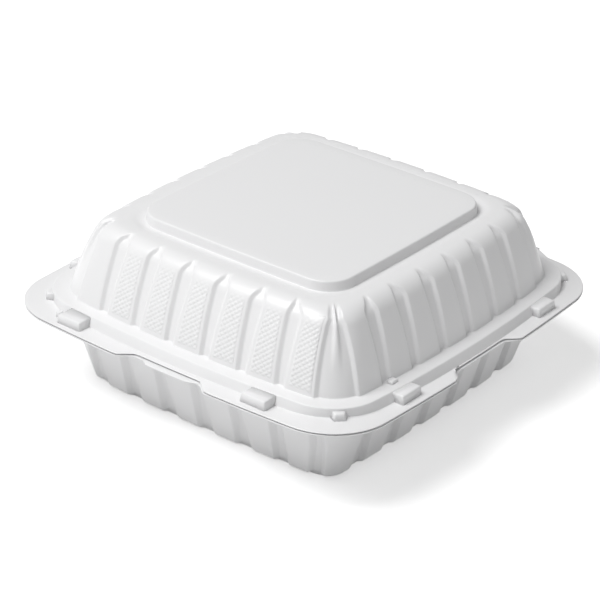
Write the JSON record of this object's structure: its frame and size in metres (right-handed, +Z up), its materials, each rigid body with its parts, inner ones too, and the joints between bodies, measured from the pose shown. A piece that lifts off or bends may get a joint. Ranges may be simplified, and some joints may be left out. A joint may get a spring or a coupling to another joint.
{
  "type": "hinged takeout container",
  "caption": "Square clamshell food container: a fluted tub and a fluted domed lid with a raised top panel, joined by a living hinge along the back edge.",
  "frame": {"origin": "centre of the closed container's bounding box, on the tub's underside", "axes": "+X along the front edge, +Y from the front edge to the hinge, +Z up"},
  "size_m": [0.2022, 0.2137, 0.0849],
  "materials": {
    "base_plastic": "satin",
    "lid_plastic": "satin"
  },
  "bodies": {
    "base": {"base": "base_plastic"},
    "lid": {"lid": "lid_plastic"}
  },
  "joints": [
    {"name": "lid_hinge", "type": "hinge", "parent": "base", "child": "lid", "pos_m": [0, 0.10724, 0.0418], "axis": [-1, 0, 0], "range_deg": [0, 178]}
  ]
}
